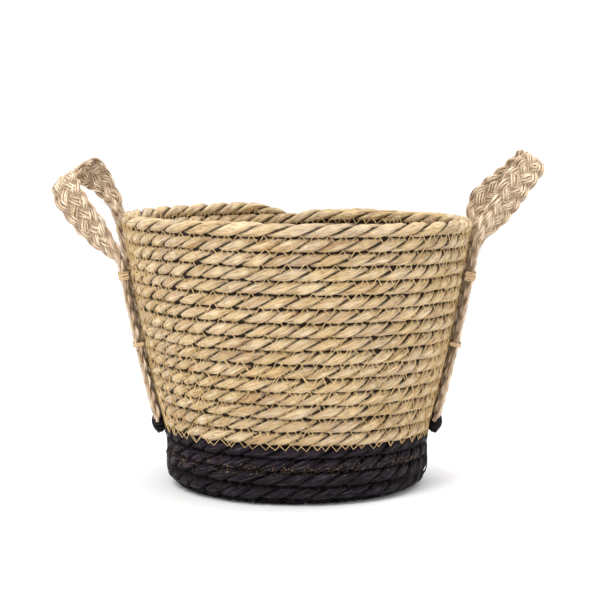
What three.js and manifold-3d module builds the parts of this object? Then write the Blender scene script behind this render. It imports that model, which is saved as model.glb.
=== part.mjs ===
// Seagrass storage basket: a flared bowl of coiled rope with a black foot and two
// braided jute loops.  Millimetres, +Z up.  The origin is on the floor, under the
// middle of the basket.  The front faces -Y, the handles stand at -X and +X.

import * as THREE from "three";
import { mergeVertices } from "three/addons/utils/BufferGeometryUtils.js";
import Module from "manifold-3d";

const wasm = await Module();
wasm.setup();

// ---- Driving dimensions of the body ----
const rimDiameter = 280.4; // across the outside of the top row
const rimHeight = 215; // floor to the top of the rim row, at the front
const waistDiameter = 210.8; // across the outside of the black foot
const footCornerRadius = 12; // bend of the rope's centre line from base to wall
const blackHeight = 47.5; // floor to the change of colour, at the front
const flareStart = 40; // height at which the wall starts to lean outwards
const wallBelly = 0.07; // bulge of the flared wall, as a share of the flare
const ropeThickness = 10.4;
const rowPitch = 10.7; // from one row of rope to the next, along the wall
const grooveDepth = 2.6; // of the groove between two rows, on each face of the wall
const ridgeShare = 0.27; // of a row's height, from its groove to the flat of its ridge
const centreRadius = 4; // least radius of the coil's start, in the middle of the base
const ropeEndAzimuth = THREE.MathUtils.degToRad(94.5); // the coil's last end, at the back
const stepsPerTurn = 32;

// ---- Driving dimensions of the straps ----
const strapWidth = 24;
const strapThickness = 6.4;
const strapChamfer = 1.6;
const strapStandoff = 0.6; // between the rope wall and the strap's inner face
const legAzimuth = THREE.MathUtils.degToRad(9); // each leg's turn away from the X axis
const hingeDrop = 37; // hinge line of a handle, below the rim's top
const hingeGap = 0.3; // between the round end of a handle and the leg's nearest corner
const handleLean = THREE.MathUtils.degToRad(33); // of a loop's plane, away from vertical

// ---- Driving dimensions of the ties ----
const threadBand = 1.3; // thickness of the thread wound over a strap
const tieGap = 0.35; // between a tie and the strap under it
const lashHeight = 7;
const lashDrop = 4.6; // top of the upper lash, below the hinge line
const middleTieHeight = 3.6;
const middleTieDrop = 99; // below the rim's top
const knotWidth = 22;
const knotHeight = 17;
const knotDepth = 11.5;
const knotFromFloor = 52.5; // height of the wall behind a black knot
const restGap = 0.4; // between pieces that touch

const ropeRadius = ropeThickness / 2;

const seagrass = new THREE.MeshStandardMaterial({ color: 0xc9ad7f, roughness: 0.8, metalness: 0 });
const blackRope = new THREE.MeshStandardMaterial({ color: 0x1d1a1e, roughness: 0.85, metalness: 0 });
const jute = new THREE.MeshStandardMaterial({ color: 0xb79a72, roughness: 0.95, metalness: 0 });
const tanThread = new THREE.MeshStandardMaterial({ color: 0xcdb284, roughness: 0.9, metalness: 0 });
const blackYarn = new THREE.MeshStandardMaterial({ color: 0x121114, roughness: 0.95, metalness: 0 });

// A path that carries its own section frames, so that a swept section keeps its stance.
// stationAt(t) gives the point and the section's two directions for t from 0 to 1.
class FramedPath extends THREE.Curve {
  constructor(stationAt) {
    super();
    this.stationAt = stationAt;
  }

  getPoint(t, target = new THREE.Vector3()) {
    return target.copy(this.stationAt(t).point);
  }

  getSpacedPoints(divisions) {
    return this.getPoints(divisions);
  }

  computeFrenetFrames(segments) {
    const frames = { tangents: [], normals: [], binormals: [] };
    for (let step = 0; step <= segments; step += 1) {
      const station = this.stationAt(step / segments);
      frames.normals.push(station.normal);
      frames.binormals.push(station.binormal);
      frames.tangents.push(station.normal.clone().cross(station.binormal));
    }
    return frames;
  }
}

// An eight-sided outline, a rectangle with its corners cut off.
function chamferedOutline(width, thickness, chamfer) {
  const x = width / 2;
  const y = thickness / 2;
  return new THREE.Shape([
    new THREE.Vector2(x, -y + chamfer),
    new THREE.Vector2(x, y - chamfer),
    new THREE.Vector2(x - chamfer, y),
    new THREE.Vector2(-x + chamfer, y),
    new THREE.Vector2(-x, y - chamfer),
    new THREE.Vector2(-x, -y + chamfer),
    new THREE.Vector2(-x + chamfer, -y),
    new THREE.Vector2(x - chamfer, -y),
  ]);
}

function sweep(outline, path, steps) {
  return new THREE.ExtrudeGeometry(outline, { extrudePath: path, steps, bevelEnabled: false });
}

function solidFrom(geometry) {
  const bare = geometry.clone();
  bare.deleteAttribute("normal");
  bare.deleteAttribute("uv");
  const merged = mergeVertices(bare, 1e-4);
  return new wasm.Manifold(
    new wasm.Mesh({
      numProp: 3,
      vertProperties: new Float32Array(merged.attributes.position.array),
      triVerts: new Uint32Array(merged.index.array),
    }),
  );
}

function geometryFrom(solid) {
  const mesh = solid.getMesh();
  const geometry = new THREE.BufferGeometry();
  geometry.setAttribute("position", new THREE.BufferAttribute(mesh.vertProperties, 3));
  geometry.setIndex(new THREE.BufferAttribute(mesh.triVerts, 1));
  return geometry;
}

// ---- The coiled wall ----

// The rope's centre line in a plane through the axis: x is the radius, y the height.
function buildMeridian() {
  const waistRadius = waistDiameter / 2 - ropeRadius;
  const flare = rimDiameter / 2 - ropeRadius - waistRadius;
  const cornerStart = new THREE.Vector2(waistRadius - footCornerRadius, ropeRadius);
  const cornerTop = cornerStart.y + footCornerRadius;
  const wallPoints = [new THREE.Vector2(waistRadius, cornerTop)];
  for (const share of [0, 0.25, 0.5, 0.75, 1]) {
    const lean = share + wallBelly * Math.sin(Math.PI * share);
    wallPoints.push(
      new THREE.Vector2(waistRadius + flare * lean, flareStart + (rimHeight - flareStart) * share),
    );
  }
  const meridian = new THREE.CurvePath();
  meridian.add(new THREE.LineCurve(new THREE.Vector2(0, ropeRadius), cornerStart));
  meridian.add(
    new THREE.EllipseCurve(
      cornerStart.x,
      cornerTop,
      footCornerRadius,
      footCornerRadius,
      -Math.PI / 2,
      0,
    ),
  );
  meridian.add(new THREE.SplineCurve(wallPoints));
  return meridian;
}

const meridian = buildMeridian();
const meridianLength = meridian.getLength();

// Length along the meridian at which the wall's centre line is at a height.
function lengthAtHeight(height) {
  let low = meridianLength * 0.3;
  let high = meridianLength;
  for (let round = 0; round < 40; round += 1) {
    const middle = (low + high) / 2;
    if (meridian.getPoint(middle / meridianLength).y < height) {
      low = middle;
    } else {
      high = middle;
    }
  }
  return low;
}

// Centre line point, direction up the wall and direction out of the wall at a length.
function wallAt(length) {
  const share = Math.min(length / meridianLength, 1);
  const up = meridian.getTangent(share);
  const centre = meridian.getPoint(share).addScaledVector(up, Math.max(0, length - meridianLength));
  const out = new THREE.Vector2(up.y, -up.x);
  return { centre, up, out };
}

// The rope winds up clockwise.  A place on it is told by its turns before the coil's
// last end.  This is the length, along the wall, of the groove below the rope there.
function grooveLength(turns) {
  return meridianLength - rowPitch * (turns + 0.5);
}

// One closed wall of rope rows sewn edge to edge, with a ridge that spirals up it.
// The groove above a row is the groove below the next.  shortBy is the gap left beyond
// the rope's end and above its last row, for the rope that follows on.
function spiralWall({ startTurns, steps, startsOnAxis, shortBy }) {
  const points = [];
  const triangles = [];

  const addPoint = (turns, share, depth, drop) => {
    const { centre, out } = wallAt(grooveLength(turns) + share * rowPitch - drop);
    const place = centre.addScaledVector(out, depth);
    const azimuth = ropeEndAzimuth + 2 * Math.PI * turns;
    points.push(place.x * Math.cos(azimuth), place.x * Math.sin(azimuth), place.y);
    return points.length / 3 - 1;
  };
  const addPair = (turns, share, depth, drop) => ({
    outer: addPoint(turns, share, depth, drop),
    inner: addPoint(turns, share, -depth, drop),
  });
  const addQuad = (a, b, c, d) => triangles.push(a, b, c, a, c, d);
  const addStrip = (low, high, nextLow, nextHigh) => {
    addQuad(low.outer, high.outer, nextHigh.outer, nextLow.outer);
    addQuad(low.inner, nextLow.inner, nextHigh.inner, high.inner);
  };

  const endRadius = wallAt(grooveLength(startTurns - steps / stepsPerTurn)).centre.x;
  const endShift = shortBy / (2 * Math.PI * endRadius);
  const turnsAt = (step) => startTurns - step / stepsPerTurn;
  const grooves = [];
  for (let step = 0; step <= steps + stepsPerTurn; step += 1) {
    const shift = step === steps + stepsPerTurn ? endShift : 0;
    const drop = step >= steps ? shortBy : 0;
    grooves.push(addPair(turnsAt(step) + shift, 0, ropeRadius - grooveDepth, drop));
  }
  const lows = [];
  const highs = [];
  for (let step = 0; step <= steps; step += 1) {
    const turns = turnsAt(step) + (step === steps ? endShift : 0);
    lows.push(addPair(turns, ridgeShare, ropeRadius, 0));
    highs.push(addPair(turns, 1 - ridgeShare, ropeRadius, 0));
  }

  const above = (step) => grooves[step + stepsPerTurn];
  for (let step = 0; step < steps; step += 1) {
    addStrip(grooves[step], lows[step], grooves[step + 1], lows[step + 1]);
    addStrip(lows[step], highs[step], lows[step + 1], highs[step + 1]);
    addStrip(highs[step], above(step), highs[step + 1], above(step + 1));
  }
  for (let step = steps; step < steps + stepsPerTurn; step += 1) {
    const here = grooves[step];
    const next = grooves[step + 1];
    addQuad(here.outer, here.inner, next.inner, next.outer);
  }
  const endSection = [grooves[steps], lows[steps], highs[steps], above(steps)];
  for (let k = 0; k < 3; k += 1) {
    const low = endSection[k];
    const high = endSection[k + 1];
    addQuad(low.outer, high.outer, high.inner, low.inner);
  }

  const startSection = [grooves[0], lows[0], highs[0], above(0)];
  if (startsOnAxis) {
    points.push(0, 0, 0, 0, 0, ropeThickness);
    const top = points.length / 3 - 1;
    const bottom = top - 1;
    for (let step = 0; step < stepsPerTurn; step += 1) {
      triangles.push(bottom, grooves[step].outer, grooves[step + 1].outer);
      triangles.push(top, grooves[step + 1].inner, grooves[step].inner);
    }
    for (let k = 0; k < 3; k += 1) {
      triangles.push(bottom, startSection[k + 1].outer, startSection[k].outer);
      triangles.push(top, startSection[k].inner, startSection[k + 1].inner);
    }
  } else {
    for (let step = 0; step < stepsPerTurn; step += 1) {
      const here = grooves[step];
      const next = grooves[step + 1];
      addQuad(here.outer, next.outer, next.inner, here.inner);
    }
    for (let k = 0; k < 3; k += 1) {
      const low = startSection[k];
      const high = startSection[k + 1];
      addQuad(low.outer, low.inner, high.inner, high.outer);
    }
  }

  const geometry = new THREE.BufferGeometry();
  geometry.setAttribute("position", new THREE.Float32BufferAttribute(points, 3));
  geometry.setIndex(triangles);
  return geometry;
}

// The rope changes colour a whole number of steps before its last end.
const changeTurns = (meridianLength - lengthAtHeight(blackHeight)) / rowPitch;
const naturalSteps = Math.round(changeTurns * stepsPerTurn);
const blackTurns = (grooveLength(0) - centreRadius) / rowPitch - naturalSteps / stepsPerTurn;
const blackSteps = Math.floor(blackTurns * stepsPerTurn);

// ---- The handles' straps ----

const hingeLength = lengthAtHeight(rimHeight - hingeDrop);
const knotLength = lengthAtHeight(knotFromFloor);
// The legs splay as the wall leans out, which lifts one corner of each leg's end.
const cornerLift = (strapWidth / 2) * Math.sin(legAzimuth) * wallAt(hingeLength).up.x;
const legTop = hingeLength - strapThickness / 2 - hingeGap - cornerLift;
const legBottom = knotLength + knotHeight / 2 + restGap;

// Centre of a strap that lies on the wall.  side is -1 on the left and 1 on the right,
// end is -1 for the front leg and 1 for the back one.  flat is 1 where the strap lies
// flat on the wall, and 0 where it is square to the hinge line.
function strapOnWall(length, side, end, flat) {
  const { centre, out } = wallAt(length);
  const offset = ropeRadius + strapStandoff + strapThickness / 2;
  const radius = centre.x + out.x * offset;
  const wallRadius = radius - strapStandoff - strapThickness / 2;
  const y = radius * Math.sin(legAzimuth);
  const nearEdge = y - strapWidth / 2;
  const squareX = Math.sqrt(wallRadius ** 2 - nearEdge ** 2) + strapStandoff + strapThickness / 2;
  const flatX = radius * Math.cos(legAzimuth);
  const x = THREE.MathUtils.lerp(squareX, flatX, flat);
  return new THREE.Vector3(side * x, end * y, centre.y + out.y * offset);
}

// A strap's stations from its centre line and the direction of its width.
function strapPath(pointAt, widthAt) {
  const nudge = 1e-3;
  return new FramedPath((t) => {
    const before = pointAt(Math.max(0, t - nudge));
    const after = pointAt(Math.min(1, t + nudge));
    const along = after.sub(before).normalize();
    const normal = widthAt(t, along);
    normal.addScaledVector(along, -normal.dot(along)).normalize();
    return { point: pointAt(t), normal, binormal: along.clone().cross(normal) };
  });
}

const strapOutline = chamferedOutline(strapWidth, strapThickness, strapChamfer);

function legPath(side, end) {
  const lengthAt = (t) => THREE.MathUtils.lerp(legBottom, legTop, t);
  const pointAt = (t) => strapOnWall(lengthAt(t), side, end, 1 - t);
  const widthAt = (t) => {
    const yaw = (1 - t) * legAzimuth * end;
    return new THREE.Vector3(-side * Math.sin(yaw), Math.cos(yaw), 0);
  };
  return strapPath(pointAt, widthAt);
}

function strapLeg(side, end) {
  const steps = 14;
  return sweep(strapOutline, legPath(side, end), steps);
}

// Stations of each loop, from the front hinge over the top to the back one.
// rise: above the hinge line.  reach: out from the wall or rim.  place: along the
// hinge line, as a share of its half length.  turn: of the strap about itself, in
// degrees, from 0 with its broad side to the front to 90 with it against the wall.
const leftLoop = [
  { rise: 7, reach: 8.2, place: -1, turn: 78 },
  { rise: 15.5, reach: 14.4, place: -1, turn: 62 },
  { rise: 28, reach: 23.6, place: -1, turn: 38 },
  { rise: 46.5, reach: 36.6, place: -1, turn: 6 },
  { rise: 58, reach: 43.2, place: -0.9, turn: 0 },
  { rise: 67.5, reach: 43.2, place: -0.5, turn: 0 },
  { rise: 72.5, reach: 35, place: 0, turn: 0 },
  { rise: 71, reach: 25, place: 0.5, turn: 28 },
  { rise: 57, reach: 15.2, place: 0.92, turn: 60 },
  { rise: 46.5, reach: 9.6, place: 1, turn: 72 },
  { rise: 34, reach: 6.4, place: 1, turn: 84 },
  { rise: 16, reach: 5.8, place: 1, turn: 90 },
];
const rightLoop = [
  { rise: 9, reach: 5.8, place: -1, turn: 88 },
  { rise: 15.5, reach: 6.6, place: -1, turn: 80 },
  { rise: 25.5, reach: 10.8, place: -1, turn: 64 },
  { rise: 37, reach: 17.8, place: -1, turn: 40 },
  { rise: 58.5, reach: 31.6, place: -0.97, turn: 10 },
  { rise: 71, reach: 40.3, place: -0.8, turn: 0 },
  { rise: 80.5, reach: 46.8, place: -0.4, turn: 0 },
  { rise: 82.5, reach: 48.4, place: 0, turn: 0 },
  { rise: 80, reach: 45.8, place: 0.4, turn: 0 },
  { rise: 70, reach: 37.5, place: 0.8, turn: 5 },
  { rise: 57, reach: 22.5, place: 0.97, turn: 15 },
  { rise: 47.5, reach: 12.4, place: 1, turn: 30 },
  { rise: 36.5, reach: 7.4, place: 1, turn: 58 },
  { rise: 24, reach: 6.2, place: 1, turn: 84 },
  { rise: 12, reach: 5.8, place: 1, turn: 90 },
];

function hingePoint(side, end) {
  return strapOnWall(hingeLength, side, end, 0);
}

function stationPoint(station, side) {
  const hinge = hingePoint(side, 1);
  const height = hinge.z + station.rise;
  const { centre, out } = wallAt(lengthAtHeight(Math.min(height, rimHeight - ropeRadius)));
  const wallRadius = centre.x + out.x * ropeRadius;
  const y = station.place * hinge.y;
  return new THREE.Vector3(side * (Math.sqrt(wallRadius ** 2 - y ** 2) + station.reach), y, height);
}

function loopPath(side, stations) {
  const points = stations.map((station) => stationPoint(station, side));
  const centreLine = new THREE.CatmullRomCurve3(
    [hingePoint(side, -1), ...points, hingePoint(side, 1)],
    false,
    "centripetal",
  );
  const turns = [90, ...stations.map((station) => station.turn), 90];
  const acrossLoop = new THREE.Vector3(-side * Math.cos(handleLean), 0, Math.sin(handleLean));
  const turnAt = (t) => {
    const place = t * (turns.length - 1);
    const before = Math.min(Math.floor(place), turns.length - 2);
    return THREE.MathUtils.lerp(turns[before], turns[before + 1], place - before);
  };
  const widthAt = (t, along) => {
    const width = acrossLoop.clone().addScaledVector(along, -acrossLoop.dot(along)).normalize();
    return width.applyAxisAngle(along, side * THREE.MathUtils.degToRad(turnAt(t)));
  };
  return strapPath((t) => centreLine.getPoint(t), widthAt);
}

// A loop of strap, with its two lower ends rounded about the hinge line.
function handleLoop(side, stations) {
  const stepsPerStation = 3;
  const path = loopPath(side, stations);
  let solid = solidFrom(sweep(strapOutline, path, stepsPerStation * (stations.length + 1)));
  for (const end of [-1, 1]) {
    const roundEnd = new THREE.CylinderGeometry(strapThickness / 2, strapThickness / 2, strapWidth, 14);
    const hinge = hingePoint(side, end);
    roundEnd.translate(hinge.x, hinge.y, hinge.z);
    solid = solid.add(solidFrom(roundEnd));
  }
  return geometryFrom(solid);
}

// ---- Ties that hold the straps to the wall ----

// Places a mesh on a leg at a length along the wall, with its X along the strap's
// width, its Y out of the wall and its Z down or up the strap.
function placeOnLeg(mesh, side, end, length, outward) {
  const t = (length - legBottom) / (legTop - legBottom);
  const station = legPath(side, end).stationAt(t);
  const away = station.binormal.clone().multiplyScalar(Math.sign(station.binormal.x * side));
  const along = station.normal.clone().cross(away);
  mesh.position.copy(station.point).addScaledVector(away, outward);
  mesh.quaternion.setFromRotationMatrix(
    new THREE.Matrix4().makeBasis(station.normal, away, along),
  );
}

// A band over the strap's outer face and down both its edges to the wall.
function tieBand(height) {
  const inner = strapWidth / 2 + tieGap;
  const outer = inner + threadBand;
  const face = strapThickness / 2 + tieGap;
  const foot = -strapThickness / 2 - strapStandoff + restGap;
  const band = new THREE.Shape([
    new THREE.Vector2(outer, foot),
    new THREE.Vector2(outer, face),
    new THREE.Vector2(inner, face + threadBand),
    new THREE.Vector2(-inner, face + threadBand),
    new THREE.Vector2(-outer, face),
    new THREE.Vector2(-outer, foot),
    new THREE.Vector2(-inner, foot),
    new THREE.Vector2(-inner, face),
    new THREE.Vector2(inner, face),
    new THREE.Vector2(inner, foot),
  ]);
  const geometry = new THREE.ExtrudeGeometry(band, { depth: height, bevelEnabled: false });
  return geometry.translate(0, 0, -height / 2);
}

function yarnKnot() {
  const knot = new THREE.SphereGeometry(0.5, 14, 10);
  return knot.scale(knotWidth, knotDepth, knotHeight);
}

// ---- Assembly ----

const basket = new THREE.Group();

function addPiece(name, geometry, material) {
  const mesh = new THREE.Mesh(geometry, material);
  mesh.name = name;
  basket.add(mesh);
  return mesh;
}

const blackCoil = spiralWall({
  startTurns: (naturalSteps + blackSteps) / stepsPerTurn,
  steps: blackSteps,
  startsOnAxis: true,
  shortBy: restGap,
});
const naturalCoil = spiralWall({
  startTurns: naturalSteps / stepsPerTurn,
  steps: naturalSteps,
  startsOnAxis: false,
  shortBy: 0,
});
addPiece("black_rope_coil", blackCoil, blackRope);
addPiece("natural_rope_coil", naturalCoil, seagrass);

const lashLength = hingeLength - lashDrop - lashHeight / 2;
const middleTieLength = lengthAtHeight(rimHeight - middleTieDrop);
const knotOutward = knotDepth / 2 + restGap - strapStandoff - strapThickness / 2;
const sides = [
  { name: "left", side: -1, stations: leftLoop },
  { name: "right", side: 1, stations: rightLoop },
];
const ends = [
  { name: "front", end: -1 },
  { name: "back", end: 1 },
];
for (const { name, side, stations } of sides) {
  addPiece(`${name}_handle_loop`, handleLoop(side, stations), jute);
  for (const { name: endName, end } of ends) {
    const leg = `${name}_${endName}`;
    addPiece(`${leg}_strap_leg`, strapLeg(side, end), jute);
    const lash = addPiece(`${leg}_upper_lash`, tieBand(lashHeight), tanThread);
    placeOnLeg(lash, side, end, lashLength, 0);
    const tie = addPiece(`${leg}_middle_tie`, tieBand(middleTieHeight), tanThread);
    placeOnLeg(tie, side, end, middleTieLength, 0);
    const knot = addPiece(`${leg}_black_knot`, yarnKnot(), blackYarn);
    placeOnLeg(knot, side, end, knotLength, knotOutward);
  }
}

export default basket;
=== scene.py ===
"""The looks of the seagrass storage basket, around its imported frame.

The frame is in metres, +Z up, with the front facing -Y.  The shapes below are worked out in
millimetres and turned into metres where each mesh is made.
"""

import math

import bpy
import numpy as np
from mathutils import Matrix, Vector


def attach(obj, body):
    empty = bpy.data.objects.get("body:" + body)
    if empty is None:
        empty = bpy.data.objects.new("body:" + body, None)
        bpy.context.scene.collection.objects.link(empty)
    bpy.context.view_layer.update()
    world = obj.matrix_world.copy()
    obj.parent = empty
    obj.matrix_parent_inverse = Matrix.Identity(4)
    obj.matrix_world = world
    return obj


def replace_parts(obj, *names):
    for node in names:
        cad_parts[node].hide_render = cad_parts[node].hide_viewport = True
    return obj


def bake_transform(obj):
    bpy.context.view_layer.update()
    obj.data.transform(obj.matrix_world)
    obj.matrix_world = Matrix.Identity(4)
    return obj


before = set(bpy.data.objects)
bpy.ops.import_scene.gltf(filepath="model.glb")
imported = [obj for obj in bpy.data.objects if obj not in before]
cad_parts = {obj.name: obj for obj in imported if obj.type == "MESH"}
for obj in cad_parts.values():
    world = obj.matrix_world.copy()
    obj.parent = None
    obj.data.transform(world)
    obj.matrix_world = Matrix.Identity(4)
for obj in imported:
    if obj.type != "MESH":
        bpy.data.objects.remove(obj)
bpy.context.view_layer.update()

MM = 0.001

# ---- The wall that the rope winds up, as in the frame ----
RIM_DIAMETER = 280.4
RIM_HEIGHT = 215.0
WAIST_DIAMETER = 210.8
FOOT_CORNER_RADIUS = 12.0
FLARE_START = 40.0
WALL_BELLY = 0.07
ROPE_RADIUS = 5.2
ROW_PITCH = 10.7
END_AZIMUTH = math.radians(94.5)
CHANGE_TURNS = 15.97  # turns before the rope's last end, where black meets natural
START_TURNS = 28.6  # on the basket's axis

# ---- The straps, as in the frame ----
STRAP_WIDTH = 24.0
STRAP_THICKNESS = 6.4
STRAP_STANDOFF = 0.6
LEG_AZIMUTH = math.radians(9)
HINGE_DROP = 37.0
HANDLE_LEAN = math.radians(33)
LASH_HEIGHT = 7.0
LASH_DROP = 4.6
MIDDLE_TIE_DROP = 99.0
KNOT_HEIGHT = 52.5  # of the middle of a black knot, above the floor


# ---- Small tools ----


def unit(vectors):
    return vectors / np.linalg.norm(vectors, axis=-1, keepdims=True)


def noise_line(places, seed):
    """Smooth noise between -1 and 1 along a line, one bend per unit."""
    rng = np.random.default_rng(seed)
    values = rng.uniform(-1, 1, 8192)
    cell = np.floor(places).astype(int)
    part = places - cell
    part = part * part * (3 - 2 * part)
    return values[cell % 8192] * (1 - part) + values[(cell + 1) % 8192] * part


def scatter(*numbers):
    """A repeatable value from 0 to 1 for each set of whole numbers."""
    total = np.zeros(np.broadcast(*numbers).shape)
    for k, number in enumerate(numbers):
        total = total + np.asarray(number, float) * (12.9898 + 65.413 * k)
    return np.mod(np.abs(np.sin(total) * 43758.5453), 1.0)


class Skin:
    """Gathers closed tubes, and makes one mesh of them."""

    def __init__(self):
        self.points = []
        self.corners = []
        self.sizes = []
        self.uvs = []
        self.values = {}
        self.count = 0

    def add_tube(self, rings, along, around, **values):
        """rings: stations x corners x 3.  along and around are the UV of each."""
        stations, corners = rings.shape[:2]
        index = self.count + np.arange(stations * corners).reshape(stations, corners)
        following = np.roll(index, -1, axis=1)
        sides = np.stack([index[:-1], following[:-1], following[1:], index[1:]], axis=-1)
        self.corners += [sides.ravel(), index[0, ::-1], index[-1]]
        self.sizes += [np.full((stations - 1) * corners, 4), np.array([corners, corners])]

        edges = np.append(around, 1.0)
        low = np.broadcast_to(along[:-1, None], (stations - 1, corners))
        high = np.broadcast_to(along[1:, None], (stations - 1, corners))
        first = np.broadcast_to(edges[:-1], low.shape)
        second = np.broadcast_to(edges[1:], low.shape)
        u = np.stack([low, low, high, high], axis=-1)
        v = np.stack([first, second, second, first], axis=-1)
        self.uvs.append(np.stack([u, v], axis=-1).reshape(-1, 2))
        for end, order in ((0, slice(None, None, -1)), (-1, slice(None))):
            cap = np.stack([np.full(corners, along[end]), around[order]], axis=-1)
            self.uvs.append(cap)

        self.points.append(rings.reshape(-1, 3))
        for name in ("tone", "depth"):
            value = values.get(name, 0.0)
            grid = np.broadcast_to(np.asarray(value, float), (stations, corners))
            self.values.setdefault(name, []).append(grid.ravel())
        self.count += stations * corners

    def make(self, name):
        mesh = bpy.data.meshes.new(name)
        points = np.concatenate(self.points) * MM
        corners = np.concatenate(self.corners)
        sizes = np.concatenate(self.sizes)
        mesh.vertices.add(len(points))
        mesh.vertices.foreach_set("co", points.astype(np.float32).ravel())
        mesh.loops.add(len(corners))
        mesh.loops.foreach_set("vertex_index", corners.astype(np.int32))
        mesh.polygons.add(len(sizes))
        starts = np.concatenate([[0], np.cumsum(sizes)[:-1]])
        mesh.polygons.foreach_set("loop_start", starts.astype(np.int32))
        mesh.polygons.foreach_set("use_smooth", np.ones(len(sizes), bool))
        mesh.update(calc_edges=True)
        layer = mesh.uv_layers.new(name="strand")
        layer.data.foreach_set("uv", np.concatenate(self.uvs).astype(np.float32).ravel())
        for key, parts in self.values.items():
            attribute = mesh.attributes.new(key, "FLOAT", "POINT")
            attribute.data.foreach_set("value", np.concatenate(parts).astype(np.float32))
        piece = bpy.data.objects.new(name, mesh)
        bpy.context.scene.collection.objects.link(piece)
        return piece


def round_rings(path, first, second, radius, corners):
    """Rings of a round tube along a path, with its section's two directions."""
    angles = np.linspace(0, 2 * math.pi, corners, endpoint=False)
    radius = np.broadcast_to(np.asarray(radius, float), (len(path),))[:, None, None]
    ring = first[:, None, :] * np.cos(angles)[None, :, None]
    ring = ring + second[:, None, :] * np.sin(angles)[None, :, None]
    return path[:, None, :] + radius * ring


def add_yarn(skin, path, radius, corners, hint, **values):
    """A round yarn along a path.  hint is a direction that the path never runs along."""
    along = unit(np.gradient(path, axis=0))
    first = unit(np.cross(np.broadcast_to(hint, along.shape), along))
    second = np.cross(along, first)
    steps = np.linalg.norm(np.diff(path, axis=0), axis=1)
    length = np.concatenate([[0], np.cumsum(steps)])
    around = np.arange(corners) / corners
    skin.add_tube(round_rings(path, first, second, radius, corners), length, around, **values)


# ---- The wall's shape ----


def uniform_spline(points, per_span):
    """A Catmull-Rom curve through points, evenly spread over their numbers."""
    points = np.asarray(points, float)
    padded = np.vstack([points[0], points, points[-1]])
    curve = []
    for k in range(len(points) - 1):
        before, start, end, after = padded[k : k + 4]
        t = np.linspace(0, 1, per_span, endpoint=False)[:, None]
        leave = (end - before) / 2
        arrive = (after - start) / 2
        cubic = (2 * start - 2 * end + leave + arrive) * t**3
        square = (-3 * start + 3 * end - 2 * leave - arrive) * t**2
        curve.append(cubic + square + leave * t + start)
    return np.vstack([*curve, points[-1:]])


class Wall:
    """The rope's centre line in a plane through the axis, by length from the axis."""

    def __init__(self):
        waist = WAIST_DIAMETER / 2 - ROPE_RADIUS
        flare = RIM_DIAMETER / 2 - ROPE_RADIUS - waist
        corner = waist - FOOT_CORNER_RADIUS
        corner_top = ROPE_RADIUS + FOOT_CORNER_RADIUS
        flat = np.stack([np.linspace(0, corner, 200), np.full(200, ROPE_RADIUS)], axis=1)
        turn = np.linspace(-math.pi / 2, 0, 40)[1:, None]
        arc = np.hstack([np.cos(turn), np.sin(turn)]) * FOOT_CORNER_RADIUS
        arc = arc + [corner, corner_top]
        posts = [(waist, corner_top)]
        for share in (0, 0.25, 0.5, 0.75, 1):
            lean = share + WALL_BELLY * math.sin(math.pi * share)
            posts.append((waist + flare * lean, FLARE_START + (RIM_HEIGHT - FLARE_START) * share))
        line = np.vstack([flat, arc, uniform_spline(posts, 60)[1:]])
        steps = np.linalg.norm(np.diff(line, axis=0), axis=1)
        self.lengths = np.concatenate([[0], np.cumsum(steps)])
        self.line = line
        self.length = self.lengths[-1]
        self.slope = unit(np.gradient(line, self.lengths, axis=0))

    def at(self, length):
        """Radius, height, and the direction up the wall, at each length."""
        inside = np.clip(length, 0, self.length)
        radius = np.interp(inside, self.lengths, self.line[:, 0])
        height = np.interp(inside, self.lengths, self.line[:, 1])
        up_out = np.interp(inside, self.lengths, self.slope[:, 0])
        up = np.interp(inside, self.lengths, self.slope[:, 1])
        beyond = np.maximum(length - self.length, 0)
        return radius + beyond * up_out, height + beyond * up, up_out, up

    def length_at(self, height):
        start = np.searchsorted(self.line[:, 1], ROPE_RADIUS + 0.001)
        return float(np.interp(height, self.line[start:, 1], self.lengths[start:]))

    def place(self, length, azimuth, outward=0.0):
        """A point in space, and the up and out directions there."""
        radius, height, up_out, up = self.at(length)
        spin = np.stack([np.cos(azimuth), np.sin(azimuth), np.zeros_like(azimuth)], axis=-1)
        rise = np.array([0.0, 0.0, 1.0])
        up_wall = spin * up_out[..., None] + rise * up[..., None]
        out = spin * up[..., None] - rise * up_out[..., None]
        centre = spin * radius[..., None] + rise * height[..., None]
        return centre + out * np.asarray(outward)[..., None], up_wall, out


wall = Wall()


# ---- The coiled rope ----

STATION_STEP = 1.8
PLY_OFFSET = 2.35
PLY_DEPTH = 2.85
PLY_WIDTH = 4.2
LEAF_WIDTH = 3.4
LEAF_DRIFT = 0.5
RAISED_ROWS = ((1, 3.2), (2, 2.2), (3, 1.1))  # beside the rope's end, and by how much
RIM_TWIST = 45.0  # length of one full twist of the plies on the rim row
WALL_TWIST = 35.5  # and on every row below it
END_TAPER = 34.0  # length over which the rope's last end narrows
END_SEAT_RUN = 40.0  # length over which that end comes down on the row below
END_SEAT_DROP = 2.4
PLY_SQUARENESS = 0.86  # 1 is round, and less is squarer


def row_lift(turns):
    """How far a row is pushed up where it passes beside the rope's last end."""
    lift = np.zeros_like(turns)
    for row, height in RAISED_ROWS:
        gone = row - turns
        rise = np.clip(gone / 0.045, 0, 1)
        fall = np.clip((0.3 - gone) / 0.26, 0, 1)
        lift += height * rise**2 * (3 - 2 * rise) * fall**2 * (3 - 2 * fall) * (gone > 0)
    return lift


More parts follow.
